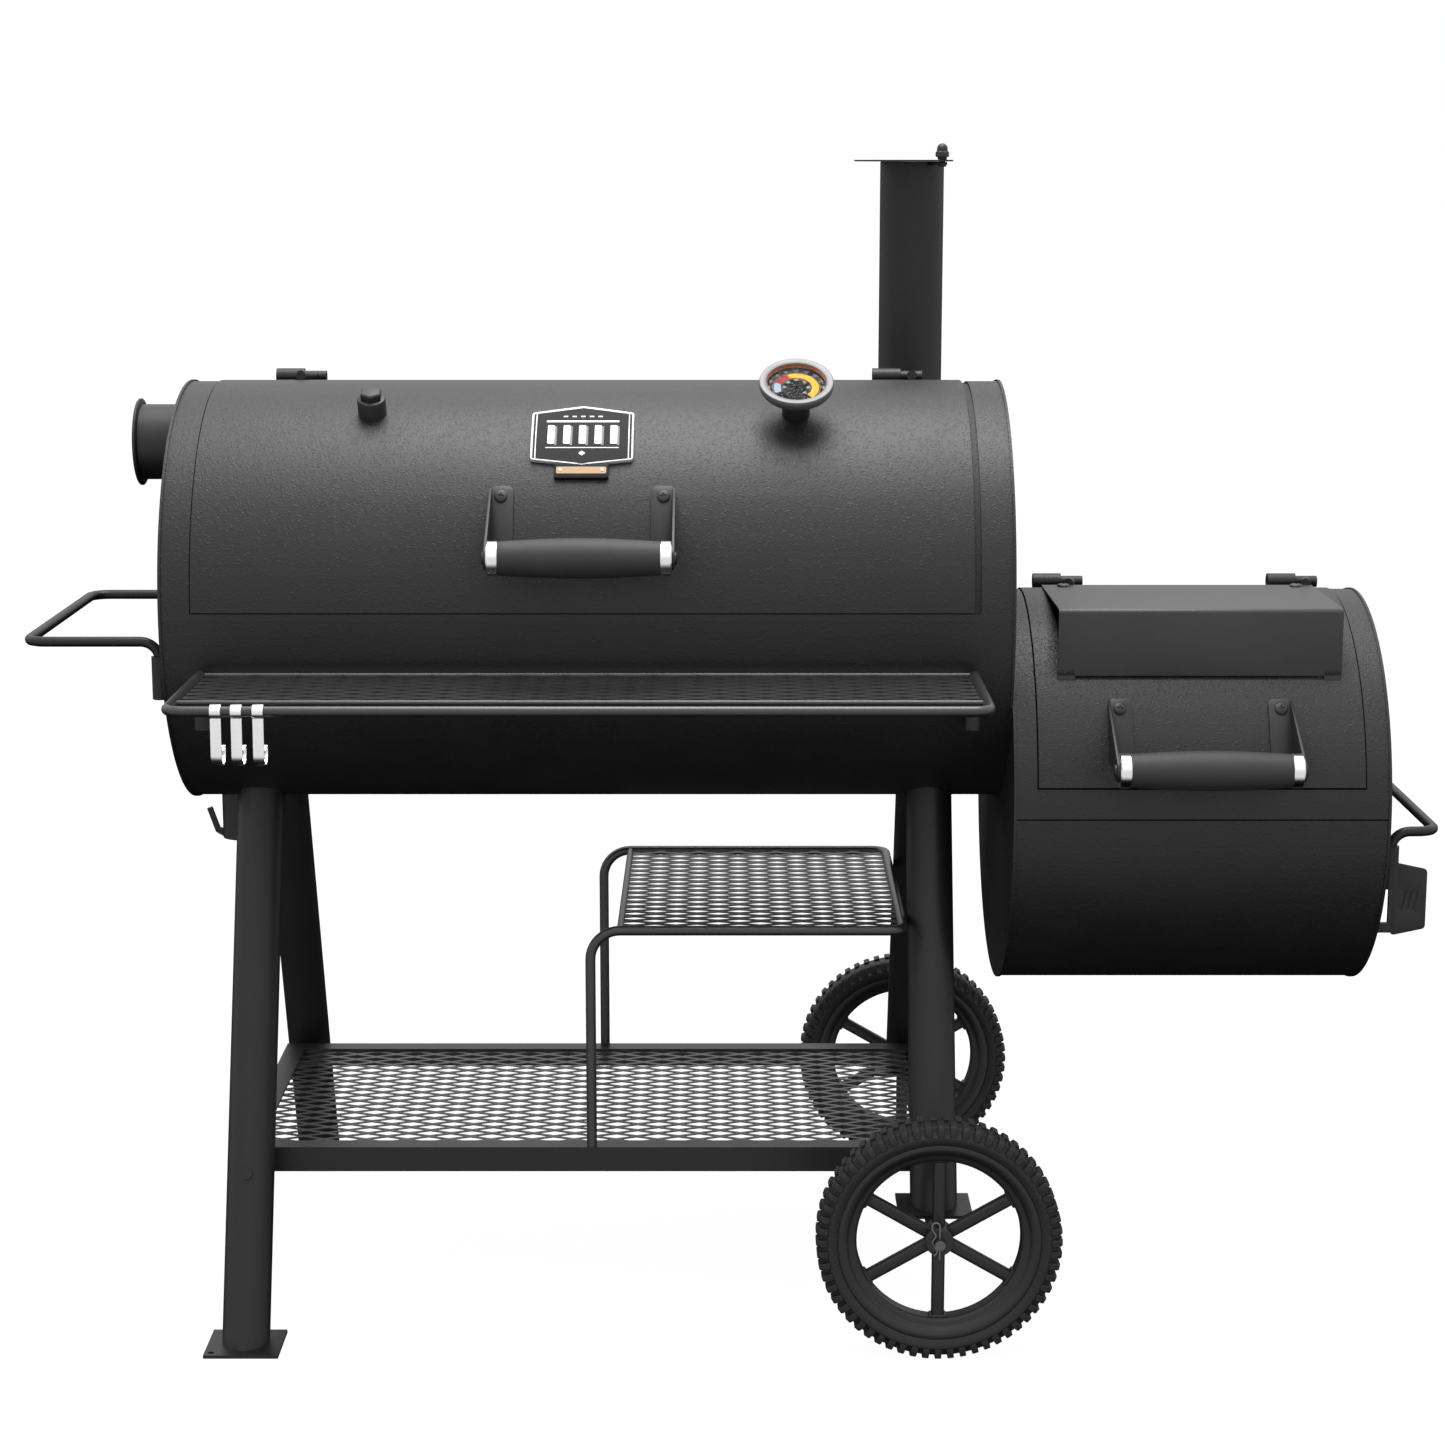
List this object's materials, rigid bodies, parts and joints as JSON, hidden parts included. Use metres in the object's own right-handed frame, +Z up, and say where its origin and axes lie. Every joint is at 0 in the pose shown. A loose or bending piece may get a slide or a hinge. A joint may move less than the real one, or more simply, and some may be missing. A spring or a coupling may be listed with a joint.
{
  "type": "offset barrel smoker",
  "caption": "Barrel charcoal smoker with a side firebox, hinged lids, chimney with damper, mesh shelves, splayed tube legs and spoked wheels.",
  "frame": {"origin": "centre of the bounding box on the ground plane", "axes": "+X along the barrel towards the firebox, +Y to the back, +Z up"},
  "size_m": [1.643, 0.8618, 1.37],
  "materials": {
    "black_paint": "satin textured high-temperature black paint",
    "grate_iron": "seasoned black",
    "bright_steel": "polished",
    "axle_steel": "plain turned steel",
    "grip_wood": "matte black turned grip with bright ferrules",
    "gauge_steel": "satin silver bezel, black dial",
    "gauge_glass": "clear",
    "needle_dark": "matte black paint",
    "badge": "black plate with silver rim",
    "rubber": "matte black rubber"
  },
  "bodies": {
    "root": {"barrel_shell": "black_paint", "barrel_end_left": "black_paint", "barrel_end_right": "black_paint", "seal_strips": "black_paint", "hinge_knuckles": "black_paint", "grate_rails": "black_paint", "baffle_plates": "black_paint", "cooking_grates": "grate_iron", "chimney_elbow": "black_paint", "chimney_pipe": "black_paint", "damper_bolt": "black_paint", "port_collar": "black_paint", "drain_pipe": "black_paint", "rod_sleeves": "black_paint", "barrel_handle": "black_paint", "firebox_handle": "black_paint", "front_shelf_frame": "black_paint", "front_shelf_mesh": "black_paint", "leg_front_left": "black_paint", "leg_rear_left": "black_paint", "leg_front_right": "black_paint", "leg_rear_right": "black_paint", "foot_plates": "black_paint", "leg_screws": "black_paint", "lower_shelf_frame": "black_paint", "lower_shelf_mesh": "black_paint", "upper_shelf_frame": "black_paint", "upper_shelf_mesh": "black_paint", "axle": "axle_steel", "hitch_pins": "bright_steel", "firebox_lower_half": "black_paint", "firebox_upper_half": "black_paint", "firebox_ends": "black_paint", "charcoal_grate": "grate_iron"},
    "barrel_lid": {"barrel_lid_shell": "black_paint", "barrel_lid_hinges": "black_paint", "barrel_lid_brackets": "black_paint", "barrel_lid_grip": "grip_wood", "badge_plate": "badge", "probe_plug": "black_paint", "gauge_case": "gauge_steel", "gauge_lens": "gauge_glass"},
    "gauge_pointer": {"gauge_needle": "needle_dark"},
    "firebox_lid": {"firebox_lid_shell": "black_paint", "firebox_lid_hinges": "black_paint", "firebox_lid_brackets": "black_paint", "firebox_lid_grip": "grip_wood", "warming_plate": "black_paint"},
    "damper": {"chimney_damper": "black_paint"},
    "port_plug": {"port_cap": "black_paint"},
    "door": {"side_door": "black_paint", "side_door_handle": "black_paint"},
    "shutter": {"air_shutter": "black_paint"},
    "wheel_front": {"front_wheel": "black_paint", "front_tyre": "rubber"},
    "wheel_rear": {"rear_wheel": "black_paint", "rear_tyre": "rubber"},
    "hook_left": {"tool_hook_left": "bright_steel"},
    "hook_middle": {"tool_hook_middle": "bright_steel"},
    "hook_right": {"tool_hook_right": "bright_steel"}
  },
  "joints": [
    {"name": "barrel_lid_hinge", "type": "hinge", "parent": "root", "child": "barrel_lid", "pos_m": [-0.1695, 0.12889, 1.08989], "axis": [-1, 0, 0], "range_deg": [0, 100]},
    {"name": "firebox_lid_hinge", "type": "hinge", "parent": "root", "child": "firebox_lid", "pos_m": [0.5355, 0.09176, 0.84247], "axis": [-1, 0, 0], "range_deg": [0, 88]},
    {"name": "gauge_needle_turn", "type": "hinge", "parent": "barrel_lid", "child": "gauge_pointer", "pos_m": [0.0735, -0.08138, 1.09262], "axis": [0, 0.5402, -0.8415], "range_deg": [0, 270]},
    {"name": "chimney_damper_turn", "type": "hinge", "parent": "root", "child": "damper", "pos_m": [0.2675, 0.32295, 1.348], "axis": [0, 0, 1], "range_deg": [-44, 70]},
    {"name": "port_cap_pull", "type": "slide", "parent": "root", "child": "port_plug", "axis": [-1, 0, 0], "range_m": [0, 0.05]},
    {"name": "side_door_swing", "type": "hinge", "parent": "root", "child": "door", "pos_m": [0.7575, 0.18595, 0.506], "axis": [0, 0, 1], "range_deg": [0, 105]},
    {"name": "air_shutter_slide", "type": "slide", "parent": "door", "child": "shutter", "axis": [0, 1, 0], "range_m": [0, 0.04]},
    {"name": "front_wheel_spin", "type": "hinge", "parent": "root", "child": "wheel_front", "pos_m": [0.2355, -0.28905, 0.1406], "axis": [0, 1, 0], "continuous": true},
    {"name": "rear_wheel_spin", "type": "hinge", "parent": "root", "child": "wheel_rear", "pos_m": [0.2355, 0.40295, 0.1406], "axis": [0, 1, 0], "continuous": true},
    {"name": "tool_hook_left_swing", "type": "hinge", "parent": "root", "child": "hook_left", "pos_m": [-0.5475, -0.42305, 0.778], "axis": [1, 0, 0], "range_deg": [-25, 40]},
    {"name": "tool_hook_middle_swing", "type": "hinge", "parent": "root", "child": "hook_middle", "pos_m": [-0.5255, -0.42305, 0.778], "axis": [1, 0, 0], "range_deg": [-25, 40]},
    {"name": "tool_hook_right_swing", "type": "hinge", "parent": "root", "child": "hook_right", "pos_m": [-0.5025, -0.42305, 0.778], "axis": [1, 0, 0], "range_deg": [-25, 40]}
  ]
}
